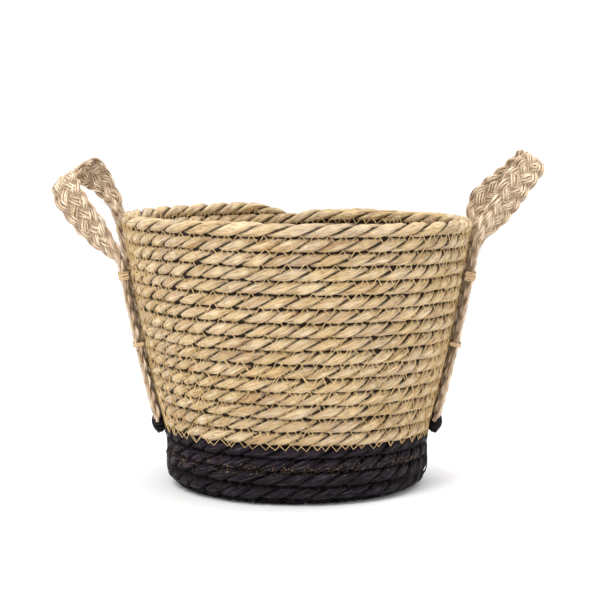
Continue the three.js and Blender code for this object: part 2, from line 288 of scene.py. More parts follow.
class Rope:
    """The stations of the whole coil, from the middle of the base to the rim."""

    def __init__(self):
        turns = np.linspace(START_TURNS, 0, 9000)
        centre, _, _ = self.place(turns)
        steps = np.linalg.norm(np.diff(centre, axis=0), axis=1)
        length = np.concatenate([[0], np.cumsum(steps)])
        count = int(length[-1] / STATION_STEP)
        self.length = np.linspace(0, length[-1], count)
        self.turns = np.interp(self.length, length, turns)
        self.centre, self.up, self.out = self.place(self.turns)
        self.left = self.length[-1] - self.length
        wave = noise_line(self.length / 45, 3)
        self.centre = self.centre + self.out * (0.4 * wave)[:, None]
        self.centre = self.centre + self.up * (0.5 * noise_line(self.length / 60, 4))[:, None]
        uneven = 0.14 * noise_line(self.length / 48, 5) + 0.1 * noise_line(self.length / 17, 6)
        pitch = np.where(self.turns < 1, RIM_TWIST, WALL_TWIST) * (1 + uneven)
        self.spin = -np.cumsum(2 * math.pi * STATION_STEP / pitch)
        taper = np.clip(self.left / END_TAPER, 0, 1) ** 0.6
        self.size = 0.3 + 0.7 * taper
        settled = np.clip(1 - self.left / END_SEAT_RUN, 0, 1) ** 2
        seated = ROPE_RADIUS * (1 - self.size) + END_SEAT_DROP * settled
        self.centre = self.centre - self.up * seated[:, None]

    def place(self, turns):
        length = wall.length - ROW_PITCH * turns + row_lift(turns)
        azimuth = END_AZIMUTH + 2 * math.pi * turns
        return wall.place(length, azimuth)

    @staticmethod
    def section():
        """Angles round a ply, close together where it shows and few where it is hidden."""
        shown = np.linspace(-112, 112, 15)
        hidden = np.array([140, 180, 220])
        return np.radians(np.concatenate([shown, hidden]))

    def ply(self, number, span):
        """Rings of one of the two plies, over a span of stations."""
        part = slice(*span)
        angles = self.section()
        length = self.length[part]
        spin = self.spin[part] + math.pi * number + 0.2 * noise_line(length / 26, 31 + number)
        size = self.size[part] * (1 + 0.11 * noise_line(length / 12, 11 + number))

        around = PLY_WIDTH * 0.93 * angles
        across = around[None, :] - LEAF_DRIFT * length[:, None]
        across = across + 1.3 * noise_line(length / 33, 21 + number)[:, None]
        leaf = np.floor(across / LEAF_WIDTH)
        crown = np.sin(math.pi * (across / LEAF_WIDTH - leaf)) ** 0.6
        stretch = np.floor(length[:, None] / 60 + scatter(leaf, number) * 3)
        tone = scatter(leaf, stretch, number + 3)
        ridge = (crown - 0.7) * (0.35 + 0.45 * scatter(leaf, stretch, number + 9))

        cosine = np.sign(np.cos(angles)) * np.abs(np.cos(angles)) ** PLY_SQUARENESS
        sine = np.sign(np.sin(angles)) * np.abs(np.sin(angles)) ** PLY_SQUARENESS
        shows = np.clip(np.cos(angles) + 0.5, 0, 1)
        reach = (PLY_OFFSET + (PLY_DEPTH + ridge * shows) * cosine) * size[:, None]
        aside = (PLY_WIDTH + ridge * shows * 0.6) * sine * size[:, None]
        turn = spin[:, None]
        outward = reach * np.cos(turn) - aside * np.sin(turn)
        upward = reach * np.sin(turn) + aside * np.cos(turn)
        upward = upward * (0.96 + 0.05 * noise_line(length / 40, 41))[:, None]
        rings = self.centre[part][:, None, :] + self.out[part][:, None, :] * outward[..., None]
        rings = rings + self.up[part][:, None, :] * upward[..., None]
        rings[..., 2] = np.maximum(rings[..., 2], 0.05)

        # depth is painted shade: darker in the ply's creases, between the rows and along the seams
        # between leaves, and none on the rim row's open top
        creased = np.clip((4.5 - np.hypot(reach, aside) / size[:, None]) / 1.2, 0, 1)
        between = np.clip((np.abs(upward) - 4.1) / 1.2, 0, 1)
        open_top = (self.turns[part] < 1)[:, None] & (upward > 0)
        between = np.where(open_top, 0, between)
        seam = np.clip(1 - crown * 1.7, 0, 1) * 0.7
        depth = np.clip(np.maximum(creased, between) + seam, 0, 1)
        return rings, length, (angles / (2 * math.pi) + 0.312) % 1.0, tone, depth

    def shadow_core(self, span):
        """A dark tube inside the rope, painted shade that shows only between two rows."""
        part = slice(*span)
        angles = np.linspace(0, 2 * math.pi, 8, endpoint=False)
        size = (self.size[part] ** 2)[:, None]
        # The rim row has no row above it, so its shadow core stays low inside the rope.
        top = np.where(self.turns[part] < 1, 2.6, 6.3)[:, None]
        rise = np.sin(angles)[None, :]
        height = np.where(rise > 0, top * rise, 6.8 * rise) * size
        depth = np.cos(angles)[None, :] * size
        outward = self.out[part][:, None, :] * depth[..., None]
        upward = self.up[part][:, None, :] * height[..., None]
        rings = self.centre[part][:, None, :] + outward + upward
        rings[..., 2] = np.maximum(rings[..., 2], 0.3)
        return rings, self.length[part], np.arange(8) / 8

    def make(self, name, first_turn, last_turn):
        """One piece of the rope, from one count of turns before its end to another."""
        start = int(np.searchsorted(-self.turns, -first_turn))
        end = int(np.searchsorted(-self.turns, -last_turn)) + 1
        skin = Skin()
        for number in (0, 1):
            rings, length, around, tone, depth = self.ply(number, (start, end))
            skin.add_tube(rings, length, around, tone=tone, depth=depth)
        # The core tube gets full depth, so the material paints it as shade.
        rings, length, around = self.shadow_core((start, end))
        skin.add_tube(rings[::3], length[::3], around, tone=0.0, depth=1.0)
        return skin.make(name)


rope = Rope()

# The stitches get wider from the rim down: rows below the rim, and the sizes there.
STITCH_ROWS = (1, 7, 10)
STITCH_HALF_WAVES = (4.7, 6.0, 7.2)
STITCH_SWINGS = (4.2, 5.6, 7.0)
STITCH_RADIUS = 0.29
BORDER_SWING = 0.45  # share of the swing that reaches over the black foot


def stitch_row(skin, first_turn, last_turn, side, seed):
    """A thread that zigzags over the groove below each row.  side is 1 outside, -1 inside."""
    rng = np.random.default_rng(seed)
    turns = [first_turn]
    while turns[-1] > last_turn:
        row = turns[-1]
        radius = max(float(wall.at(np.array([wall.length - ROW_PITCH * row]))[0][0]), 6.0)
        half_wave = np.interp(row, STITCH_ROWS, STITCH_HALF_WAVES) * rng.uniform(0.75, 1.3)
        turns.append(row - half_wave / (2 * math.pi * radius))
    turns = np.array(turns[:-1])
    count = len(turns)
    swing = np.interp(turns, STITCH_ROWS, STITCH_SWINGS) * rng.uniform(0.6, 1.15, count)
    swing = swing * np.where(np.arange(count) % 2 == 0, 1, -1)
    at_border = (np.abs(turns - CHANGE_TURNS + 0.5) < 0.5) & (swing < 0)
    swing = np.where(at_border, BORDER_SWING * swing, swing)

    peaks = np.arange(count)
    places = np.arange(3 * (count - 1) + 1) / 3
    path_turns = np.interp(places, peaks, turns)
    path_swing = np.interp(places, peaks, swing)
    on_peak = np.arange(len(places)) % 3 == 0
    outward = np.where(on_peak, 5.08, 5.0) + rng.uniform(-0.1, 0.2, len(places))
    groove = wall.length - ROW_PITCH * (path_turns + 0.5) + path_swing
    lift = row_lift(path_turns)
    azimuth = END_AZIMUTH + 2 * math.pi * path_turns
    path, _, out = wall.place(groove + lift, azimuth, side * outward)
    path[:, 2] = np.maximum(path[:, 2], 0.4)
    along = unit(np.gradient(path, axis=0))
    second = unit(np.cross(along, out))
    first = np.cross(second, along)
    radius = STITCH_RADIUS + 0.08 * noise_line(np.arange(len(path)) / 5, seed)
    length = np.concatenate([[0], np.cumsum(np.linalg.norm(np.diff(path, axis=0), axis=1))])
    rings = round_rings(path, first, second, radius, 5)
    tone = scatter(np.floor(places / 7), seed)[:, None]
    skin.add_tube(rings, length, np.arange(5) / 5, tone=tone, depth=0.0)


def make_stitches(name, first_turn, last_turn, seed):
    skin = Skin()
    stitch_row(skin, first_turn, last_turn, 1, seed)
    stitch_row(skin, first_turn, last_turn, -1, seed + 1)
    return skin.make(name)


def add_leaf_end(skin, turns, climb, run, loose, width, face, tone):
    """A flat, tapering leaf end that peels off the rope's face."""
    t = np.linspace(0, 1, 7)
    length = wall.length - ROW_PITCH * turns + climb
    radius = float(wall.at(np.array([length]))[0][0])
    azimuth = END_AZIMUTH + 2 * math.pi * turns - run * t / radius
    outward = face * (4.9 + 0.3 * t + loose * t**2)
    path, up, out = wall.place(length - 0.36 * run * t, azimuth, outward)
    angles = np.linspace(0, 2 * math.pi, 6, endpoint=False)
    half = width * (1 - 0.75 * t**1.5)
    wide = up[:, None, :] * (half[:, None] * np.cos(angles))[..., None]
    thin = out[:, None, :] * (0.16 * np.sin(angles))[None, :, None]
    rings = (path[:, None, :] + wide + thin)[:, ::-1]
    skin.add_tube(rings, run * t, np.arange(6) / 6, tone=tone, depth=0.0)


def make_leaf_ends(name, count, first_turn, last_turn, seed):
    """Ends of leaves that have worked loose, and a long pale one on the rim's left."""
    rng = np.random.default_rng(seed)
    skin = Skin()
    for _ in range(count):
        turns = rng.uniform(last_turn, first_turn)
        face = rng.choice((1, 1, 1, -1))
        climb = rng.uniform(0, 2.4)
        sizes = (rng.uniform(5, 13), rng.uniform(0.3, 1.7), rng.uniform(0.7, 1.5))
        add_leaf_end(skin, turns, climb, *sizes, face, rng.uniform(0.3, 0.9))
    add_leaf_end(skin, 0.385, 7.2, 15, -1.5, 1.6, 0.75, 0.68)
    return skin.make(name)


# ---- The straps ----

KNOT_LENGTH = wall.length_at(KNOT_HEIGHT)
HINGE_LENGTH = wall.length_at(RIM_HEIGHT - HINGE_DROP)
TIE_LENGTH = wall.length_at(RIM_HEIGHT - MIDDLE_TIE_DROP)
LASH_LENGTH = HINGE_LENGTH - LASH_DROP - LASH_HEIGHT / 2
LEG_BOTTOM = KNOT_LENGTH + 2.5

# Rise above the hinge line, reach out from the wall, place along the hinge line as a
# share of its half length, and turn of the strap about itself in degrees.
LEFT_LOOP = (
    (7, 8.2, -1, 70), (15.5, 14.4, -1, 48), (28, 23.6, -1, 24), (46.5, 36.6, -1, 6),
    (58, 43.2, -0.9, 0), (67.5, 43.2, -0.5, 0), (72.5, 35, 0, 0), (71, 25, 0.5, 28),
    (57, 15.2, 0.92, 60), (46.5, 9.6, 1, 72), (34, 6.4, 1, 84), (16, 5.8, 1, 90),
)
RIGHT_LOOP = (
    (9, 5.8, -1, 88), (15.5, 6.6, -1, 80), (25.5, 10.8, -1, 64), (37, 17.8, -1, 40),
    (58.5, 31.6, -0.97, 10), (71, 40.3, -0.8, 0), (80.5, 46.8, -0.4, 0), (82.5, 48.4, 0, 0),
    (80, 45.8, 0.4, 0), (70, 37.5, 0.8, 5), (57, 22.5, 0.97, 15), (47.5, 12.4, 1, 30),
    (36.5, 7.4, 1, 58), (24, 6.2, 1, 84), (12, 5.8, 1, 90),
)


def strap_on_wall(length, side, end, flat):
    """Middle of a strap that lies on the wall."""
    radius, height, up_out, up = (float(v[0]) for v in wall.at(np.array([length])))
    offset = ROPE_RADIUS + STRAP_STANDOFF + STRAP_THICKNESS / 2
    reach = radius + up * offset
    stand = STRAP_STANDOFF + STRAP_THICKNESS / 2
    y = reach * math.sin(LEG_AZIMUTH)
    square_x = math.sqrt((reach - stand) ** 2 - (y - STRAP_WIDTH / 2) ** 2) + stand
    x = square_x + (reach * math.cos(LEG_AZIMUTH) - square_x) * flat
    return np.array([side * x, end * y, height - up_out * offset])


def leg_points(side, end):
    """Middle points and width directions of a leg, from its knot up to the hinge line."""
    points = []
    widths = []
    for share in np.linspace(0, 1, 24):
        length = LEG_BOTTOM + (HINGE_LENGTH - LEG_BOTTOM) * share
        points.append(strap_on_wall(length, side, end, 1 - share))
        yaw = (1 - share) * LEG_AZIMUTH * end
        widths.append((-side * math.sin(yaw), math.cos(yaw), 0))
    return np.array(points), np.array(widths)


def centripetal_spline(points, per_span):
    """A smooth curve through points that doesn't overshoot where they lie close."""
    first = 2 * points[0] - points[1]
    last = 2 * points[-1] - points[-2]
    padded = np.vstack([first, points, last])
    curve = []
    for k in range(len(points) - 1):
        a, b, c, d = padded[k : k + 4]
        gaps = [math.sqrt(max(np.linalg.norm(p - q), 1e-6)) for p, q in ((b, a), (c, b), (d, c))]
        leave = ((b - a) / gaps[0] - (c - a) / (gaps[0] + gaps[1]) + (c - b) / gaps[1]) * gaps[1]
        arrive = ((c - b) / gaps[1] - (d - b) / (gaps[1] + gaps[2]) + (d - c) / gaps[2]) * gaps[1]
        t = np.linspace(0, 1, per_span, endpoint=False)[:, None]
        cubic = (2 * b - 2 * c + leave + arrive) * t**3
        square = (-3 * b + 3 * c - 2 * leave - arrive) * t**2
        curve.append(cubic + square + leave * t + b)
    return np.vstack([*curve, points[-1:]])


def loop_points(side, stations):
    """Middle points of a loop and the directions of its width."""
    front = strap_on_wall(HINGE_LENGTH, side, -1, 0)
    back = strap_on_wall(HINGE_LENGTH, side, 1, 0)
    posts = [front]
    for rise, reach, place, _ in stations:
        height = back[2] + rise
        length = wall.length_at(min(height, RIM_HEIGHT - ROPE_RADIUS))
        radius, _, _, up = (float(v[0]) for v in wall.at(np.array([length])))
        wall_radius = radius + up * ROPE_RADIUS
        y = place * back[1]
        posts.append(np.array([side * (math.sqrt(wall_radius**2 - y**2) + reach), y, height]))
    posts.append(back)
    per_span = 10
    points = centripetal_spline(np.array(posts), per_span)

    turns = [90, *(station[3] for station in stations), 90]
    places = np.linspace(0, len(turns) - 1, len(points))
    angles = side * np.radians(np.interp(places, range(len(turns)), turns))
    along = unit(np.gradient(points, axis=0))
    lean = np.array([-side * math.cos(HANDLE_LEAN), 0, math.sin(HANDLE_LEAN)])
    flat = unit(lean - along * (along @ lean)[:, None])
    aside = np.cross(along, flat)
    widths = flat * np.cos(angles)[:, None] + aside * np.sin(angles)[:, None]
    return points, widths


def soften(values, rounds):
    """Evens out neighbouring rows and leaves the two ends where they are."""
    for _ in range(rounds):
        middle = (values[:-2] + 2 * values[1:-1] + values[2:]) / 4
        values = np.vstack([values[:1], middle, values[-1:]])
    return values


class Strap:
    """A strap from the front knot, up, round its loop and down to the back knot."""

    def __init__(self, side, stations):
        front, front_width = leg_points(side, -1)
        back, back_width = leg_points(side, 1)
        loop, loop_width = loop_points(side, stations)
        points = np.vstack([front[:-1], loop, back[-2::-1]])
        widths = np.vstack([-front_width[:-1], loop_width, back_width[-2::-1]])
        steps = np.linalg.norm(np.diff(points, axis=0), axis=1)
        length = np.concatenate([[0], np.cumsum(steps)])
        self.length = np.arange(0, length[-1], 1.0)
        columns = [np.interp(self.length, length, column) for column in points.T]
        self.points = soften(np.stack(columns, axis=1), 12)
        columns = [np.interp(self.length, length, column) for column in widths.T]
        width = soften(np.stack(columns, axis=1), 12)
        along = unit(np.gradient(self.points, axis=0))
        self.width = unit(width - along * np.sum(along * width, axis=1)[:, None])
        self.normal = np.cross(along, self.width)
        self.total = float(self.length[-1])

    def place(self, length, across, off):
        """Points at a length along the strap, across its width and off its face."""
        parts = []
        for values in (self.points, self.width, self.normal):
            columns = [np.interp(length, self.length, column) for column in values.T]
            parts.append(np.stack(columns, axis=-1))
        middle, width, normal = parts
        return middle + width * across[..., None] + normal * off[..., None]


STRANDS = 5
YARNS_PER_STRAND = 7
BRAID_PITCH = 66.0
BRAID_SWING = 8.8
STRAND_HALF_WIDTH = 3.5


def braid_yarn(strap, strand, yarn, seed):
    """The path of one yarn of the flat braid, and how far each point is off the middle."""
    length = np.arange(0.6, strap.total - 0.6, 1.5)
    phase = 2 * math.pi * (length / BRAID_PITCH + strand / STRANDS)
    phase = phase + 0.12 * noise_line(length / 38, seed)
    across = BRAID_SWING * np.sin(phase)
    slope = BRAID_SWING * 2 * math.pi / BRAID_PITCH * np.cos(phase)
    lean = np.hypot(1, slope)
    share = (yarn + 0.5) / YARNS_PER_STRAND * 2 - 1
    aside = STRAND_HALF_WIDTH * share + 0.7 * noise_line(length / 6, seed + 40 * yarn + strand)
    bulge = 0.8 * math.sqrt(max(1 - share**2, 0)) * (1 if yarn % 2 == 0 else -1)
    off = 1.1 * np.sin((STRANDS - 1) * phase) + bulge
    off = off + 0.45 * noise_line(length / 6, seed + 7 * yarn + 3 * strand)
    place = np.clip(length - aside * slope / lean, 0, strap.total)
    return strap.place(place, across + aside / lean, off), off


def make_braid(name, side, stations, seed):
    strap = Strap(side, stations)
    skin = Skin()
    for strand in range(STRANDS):
        for yarn in range(YARNS_PER_STRAND):
            own = seed + 11 * strand + yarn
            path, off = braid_yarn(strap, strand, yarn, seed)
            count = np.arange(len(path))
            radius = 0.82 + 0.2 * noise_line(count / 3, own)
            tone = 0.5 + 0.5 * noise_line(count / 4, own + 200)
            # Painted shade: yarns that lie low in the braid are darkened through depth.
            depth = np.clip((1.7 - np.abs(off)) / 1.3, 0, 1)
            add_strand(skin, path, radius, tone[:, None], depth[:, None])
    add_filling(skin, strap)
    return skin.make(name), strap


def add_filling(skin, strap):
    """The tight middle of the braid, which shows only where its strands part; full depth paints it in
    shade.
    """
    length = np.arange(1.5, strap.total - 1.5, 2.5)
    angles = np.linspace(0, 2 * math.pi, 12, endpoint=False)
    grid = np.broadcast_to(length[:, None], (len(length), len(angles)))
    across = np.broadcast_to(9.6 * np.cos(angles), grid.shape)
    off = np.broadcast_to(0.8 * np.sin(angles), grid.shape)
    rings = strap.place(grid, across, off)
    skin.add_tube(rings, length, np.arange(12) / 12, tone=0.35, depth=1.0)


def add_strand(skin, path, radius, tone, depth):
    """A yarn whose section is carried along its path without turning over."""
    along = unit(np.gradient(path, axis=0))
    first = np.empty_like(path)
    start = np.cross(np.array((0.31, 0.9, 0.35)), along[0])
    first[0] = start / np.linalg.norm(start)
    for k in range(1, len(path)):
        carried = first[k - 1] - along[k] * float(first[k - 1] @ along[k])
        first[k] = carried / np.linalg.norm(carried)
    second = np.cross(along, first)
    steps = np.linalg.norm(np.diff(path, axis=0), axis=1)
    length = np.concatenate([[0], np.cumsum(steps)])
    corners = 7
    rings = round_rings(path, first, second, radius, corners)
    skin.add_tube(rings, length, np.arange(corners) / corners, tone=tone, depth=depth)


def make_fuzz(name, strap, count, seed):
    """Loose fibres: most lie over the strap's faces, and some stand off it."""
    rng = np.random.default_rng(seed)
    skin = Skin()
    for number in range(count):
        lies_flat = number % 5 > 1
        start = rng.uniform(5, strap.total - 5)
        face = rng.choice((-1, 1))
        run = rng.uniform(-5, 5)
        slide = rng.uniform(-4, 4)
        across = rng.uniform(-11.6 + abs(slide) * lies_flat, 11.6 - abs(slide) * lies_flat)
        stray = rng.uniform(-0.5, 0.3) if lies_flat else rng.uniform(0.5, 2.4)
        t = np.linspace(0, 1, 5)
        length = np.clip(start + run * t, 0, strap.total)
        off = face * (2.75 - 0.012 * across**2 + stray * t**1.5 + 0.3 * np.sin(3.1 * t))
        path = strap.place(length, across + slide * t, off)
        radius = rng.uniform(0.09, 0.2 if lies_flat else 0.13) * (1 - 0.5 * t)
        tone = rng.uniform(0.1, 1.0)
        add_yarn(skin, path, radius, 3, (0.37, 0.61, 0.7), tone=tone, depth=0.0)
    return skin.make(name)


# ---- Ties and knots ----

TIE_SIDE_ROOM = 0.75  # from the strap's edge to the middle of the thread
TIE_FACE_ROOM = 0.55
TIE_SINK = 1.6  # how far the thread goes on past the strap's back
TIE_RADIUS = 0.58
KNOT_WINDINGS = 30
KNOT_HALF_WIDTH = 9.6
KNOT_HALF_DEPTH = 4.6
KNOT_HALF_HEIGHT = 7.2
KNOT_YARN_RADIUS = 0.85


class Seat:
    """A place on a strap's leg: across is its width, out is away from the wall."""

    def __init__(self, side, end, length):
        reach = min(max((length - LEG_BOTTOM) / (HINGE_LENGTH - LEG_BOTTOM), 0), 1)
        self.middle = strap_on_wall(length, side, end, 1 - reach)
        above = strap_on_wall(length + 1, side, end, 1 - reach)
        up = above - self.middle
        self.up = up / np.linalg.norm(up)
        yaw = (1 - reach) * LEG_AZIMUTH * end
        across = np.array([-side * math.sin(yaw), math.cos(yaw), 0])
        self.across = across - self.up * (across @ self.up)
        out = np.cross(self.across, self.up)
        self.out = out * np.sign(out[0] * side)

    def place(self, across, out, up):
        return (
            self.middle
            + np.multiply.outer(across, self.across)
            + np.multiply.outer(out, self.out)
            + np.multiply.outer(up, self.up)
        )


def make_tie(name, seat, turns, spacing, slant, seed):
    """Thread wound over a strap and into the wall at both its edges."""
    rng = np.random.default_rng(seed)
    skin = Skin()
    half = STRAP_WIDTH / 2 + TIE_SIDE_ROOM
    face = STRAP_THICKNESS / 2 + TIE_FACE_ROOM
    foot = -STRAP_THICKNESS / 2 - TIE_SINK
    for turn in range(turns):
        corners = ((half, foot), (half, face - 3.6), (half - 3.4, face - 0.5), (0, face))
        mirrored = tuple((-a, b) for a, b in corners[-2::-1])
        outline = uniform_spline(np.array(corners + mirrored), 5)
        share = np.linspace(-0.5, 0.5, len(outline))
        lean = slant + rng.uniform(-0.9, 0.9)
        height = (turn - (turns - 1) / 2) * spacing + lean * share + rng.uniform(-0.25, 0.25)
        height = height + 0.25 * noise_line(share * 5, seed + turn)
        path = seat.place(outline[:, 0], outline[:, 1] + rng.uniform(-0.35, 0.35), height)
        radius = TIE_RADIUS + 0.1 * noise_line(share * 9, seed + 60 + turn)
        add_yarn(skin, path, radius, 6, tuple(seat.up), tone=rng.uniform(0, 0.9), depth=0.0)
    return skin.make(name)


def make_knot(name, seat, seed):
    """A lump of yarn wound many times over a strap's end, with two cut tails."""
    rng = np.random.default_rng(seed)
    skin = Skin()
    t = np.linspace(-1, 1, 13)
    path = seat.place(8.6 * t, 0 * t, 0 * t)
    add_yarn(skin, path, 0.3 + 4.3 * np.sqrt(1 - t**2), 12, tuple(seat.out), tone=0.1, depth=0.0)
    t = np.linspace(0, 2 * math.pi, 30)
    for winding in range(KNOT_WINDINGS):
        shift = rng.uniform(-0.75, 0.75)
        size = math.sqrt(1 - shift**2) * rng.uniform(0.88, 1.04)
        lean = rng.uniform(-0.8, 0.8) + (math.pi / 2 if winding % 3 else 0)
        across = shift * math.cos(lean) + size * np.cos(t) * math.sin(lean)
        up = -shift * math.sin(lean) + size * np.cos(t) * math.cos(lean)
        out = size * np.sin(t)
        sizes = (KNOT_HALF_WIDTH, KNOT_HALF_DEPTH, KNOT_HALF_HEIGHT)
        path = seat.place(across * sizes[0], out * sizes[1], up * sizes[2])
        axis = seat.across * math.cos(lean) - seat.up * math.sin(lean)
        tone = rng.uniform(0, 1)
        add_yarn(skin, path, KNOT_YARN_RADIUS, 6, tuple(axis), tone=tone, depth=0.0)
    for tail in (-1, 1):
        s = np.linspace(0, 1, 9)
        across = tail * (6.5 + 4.2 * s)
        path = seat.place(across, 2.2 + 1.6 * s - 1.5 * s**2, -2.5 - (5.5 + 1.5 * tail) * s)
        radius = KNOT_YARN_RADIUS - 0.3 * s
        add_yarn(skin, path, radius, 6, tuple(seat.out), tone=0.4, depth=0.0)
    return skin.make(name)


# ---- Materials ----


def paint(red, green, blue):
    """A colour given in 0 to 255, for a shader socket."""
    channels = [value / 255 for value in (red, green, blue)]
    linear = [c / 12.92 if c <= 0.04045 else ((c + 0.055) / 1.055) ** 2.4 for c in channels]
    return (*linear, 1.0)


class Tree:
    """A few short ways to add shader nodes to a tree and link them."""

    def __init__(self, tree):
        self.tree = tree

    def node(self, kind, sockets=None, **settings):
        made = self.tree.nodes.new(kind)
        for key, value in settings.items():
            setattr(made, key, value)
        for name, value in (sockets or {}).items():
            self.feed(made.inputs[name], value)
        return made

    def feed(self, socket, value):
        if isinstance(value, bpy.types.NodeSocket):
            self.tree.links.new(value, socket)
        else:
            socket.default_value = value

    def maths(self, operation, first, second=0.0, third=0.0, clamp=False):
        made = self.node("ShaderNodeMath", {0: first, 1: second, 2: third}, operation=operation)
        made.use_clamp = clamp
        return made.outputs[0]

    def mix(self, factor, first, second, blend="MIX"):
        made = self.node("ShaderNodeMix", data_type="RGBA", blend_type=blend)
        self.feed(made.inputs[0], factor)
        self.feed(made.inputs[6], first)
        self.feed(made.inputs[7], second)
        return made.outputs[2]

    def attribute(self, name):
        return self.node("ShaderNodeAttribute", attribute_name=name).outputs["Fac"]

    def noise(self, place, scale, detail=2.0):
        sockets = {"Vector": place, "Scale": scale, "Detail": detail}
        return self.node("ShaderNodeTexNoise", sockets).outputs[0]

    def vector(self, x, y, z=0.0):
        return self.node("ShaderNodeCombineXYZ", {0: x, 1: y, 2: z}).outputs[0]

    def spread(self, value, low, high):
        """Turns low to high into 0 to 1."""
        sockets = {"Value": value, "From Min": low, "From Max": high}
        return self.node("ShaderNodeMapRange", sockets).outputs[0]


def make_streak_group():
    """Fine streaks that run along a strand, with slower blotches."""
    group = bpy.data.node_groups.new("strand_streaks", "ShaderNodeTree")
    for name in ("Girth", "Drift", "Fineness"):
        group.interface.new_socket(name, in_out="INPUT", socket_type="NodeSocketFloat")
    for name in ("Streak", "Blotch", "Height"):
        group.interface.new_socket(name, in_out="OUTPUT", socket_type="NodeSocketFloat")
    tree = Tree(group)
    given = tree.node("NodeGroupInput").outputs
    place = tree.node("ShaderNodeUVMap", uv_map="strand").outputs[0]
    split = tree.node("ShaderNodeSeparateXYZ", {0: place}).outputs
    around = tree.maths("MULTIPLY", split[1], given["Girth"])
    drift = tree.maths("MULTIPLY", split[0], given["Drift"])
    across = tree.maths("SUBTRACT", around, drift)
    fine = tree.maths("MULTIPLY", across, given["Fineness"])
    slow = tree.maths("MULTIPLY", split[0], 0.07)
    streak = tree.noise(tree.vector(slow, fine), 1.0, 3.0)
    broad_across = tree.maths("MULTIPLY", across, 0.23)
    broad_along = tree.maths("MULTIPLY", split[0], 0.03)
    blotch = tree.noise(tree.vector(broad_along, broad_across, 7.0), 1.0, 2.0)
    ribs = tree.noise(tree.vector(slow, tree.maths("MULTIPLY", fine, 1.9), 3.0), 1.0, 1.0)
    height = tree.maths("MULTIPLY_ADD", ribs, 0.5, tree.maths("MULTIPLY", streak, 0.7))
    end = tree.node("NodeGroupOutput")
    tree.feed(end.inputs["Streak"], tree.spread(streak, 0.32, 0.68))
    tree.feed(end.inputs["Blotch"], tree.spread(blotch, 0.33, 0.67))
    tree.feed(end.inputs["Height"], height)
    return group


STREAKS = make_streak_group()


def new_material(name):
    material = bpy.data.materials.new(name)
    material.use_nodes = True
    tree = Tree(material.node_tree)
    return material, tree, material.node_tree.nodes["Principled BSDF"].inputs


def add_streaks(tree, girth, drift, fineness):
    made = tree.node("ShaderNodeGroup", node_tree=STREAKS)
    for name, value in (("Girth", girth), ("Drift", drift), ("Fineness", fineness)):
        made.inputs[name].default_value = value
    return made.outputs


def add_bump(tree, surface, height, distance, strength):
    sockets = {"Height": height, "Distance": distance, "Strength": strength}
    tree.feed(surface["Normal"], tree.node("ShaderNodeBump", sockets).outputs[0])


def make_seagrass():
    """Dried leaves, twisted: cream to golden, with greyish and brown ones between."""
    material, tree, surface = new_material("seagrass_rope")
    streaks = add_streaks(tree, 25.0, LEAF_DRIFT, 2.1)
    tone = tree.attribute("tone")
    ramp = tree.node("ShaderNodeValToRGB", {0: tone})
    stops = (
        (0.0, paint(172, 136, 94)), (0.12, paint(204, 174, 128)), (0.4, paint(226, 204, 162)),
        (0.68, paint(242, 226, 190)), (0.86, paint(234, 208, 156)), (1.0, paint(216, 200, 176)),
    )
    for place, colour in stops[1:-1]:
        ramp.color_ramp.elements.new(place).color = colour
    ramp.color_ramp.elements[0].color = stops[0][1]
    ramp.color_ramp.elements[-1].color = stops[-1][1]
    pale = tree.maths("MULTIPLY", streaks["Blotch"], 0.5)
    blotched = tree.mix(pale, ramp.outputs[0], paint(244, 230, 198))
    place = tree.node("ShaderNodeTexCoord").outputs["Object"]
    patch = tree.noise(place, 34.0, 2.0)
    golden = tree.maths("MULTIPLY", tree.spread(patch, 0.5, 0.68), 0.4)
    greyish = tree.maths("MULTIPLY", tree.spread(patch, 0.48, 0.33), 0.5)
    warmed = tree.mix(golden, blotched, paint(226, 196, 132))
    cooled = tree.mix(greyish, warmed, paint(216, 198, 174))
    darker = tree.mix(1.0, cooled, paint(192, 158, 116), "MULTIPLY")
    factor = tree.maths("MULTIPLY", tree.maths("SUBTRACT", 1.0, streaks["Streak"]), 0.8)
    streaked = tree.mix(factor, cooled, darker)
    crack = tree.maths("MULTIPLY", tree.spread(streaks["Streak"], 0.26, 0.02), 0.78)
    cracked = tree.mix(crack, streaked, paint(104, 70, 36))
    shade = tree.maths("MULTIPLY", tree.maths("POWER", tree.attribute("depth"), 1.4), 0.97)
    tree.feed(surface["Base Color"], tree.mix(shade, cracked, paint(34, 20, 9)))
    surface["Roughness"].default_value = 0.58
    surface["Specular IOR Level"].default_value = 0.35
    add_bump(tree, surface, streaks["Height"], 0.0012, 0.9)
    return material


WORN_ROW_HEIGHT = 0.028  # in metres, of the row of the foot with the most specks


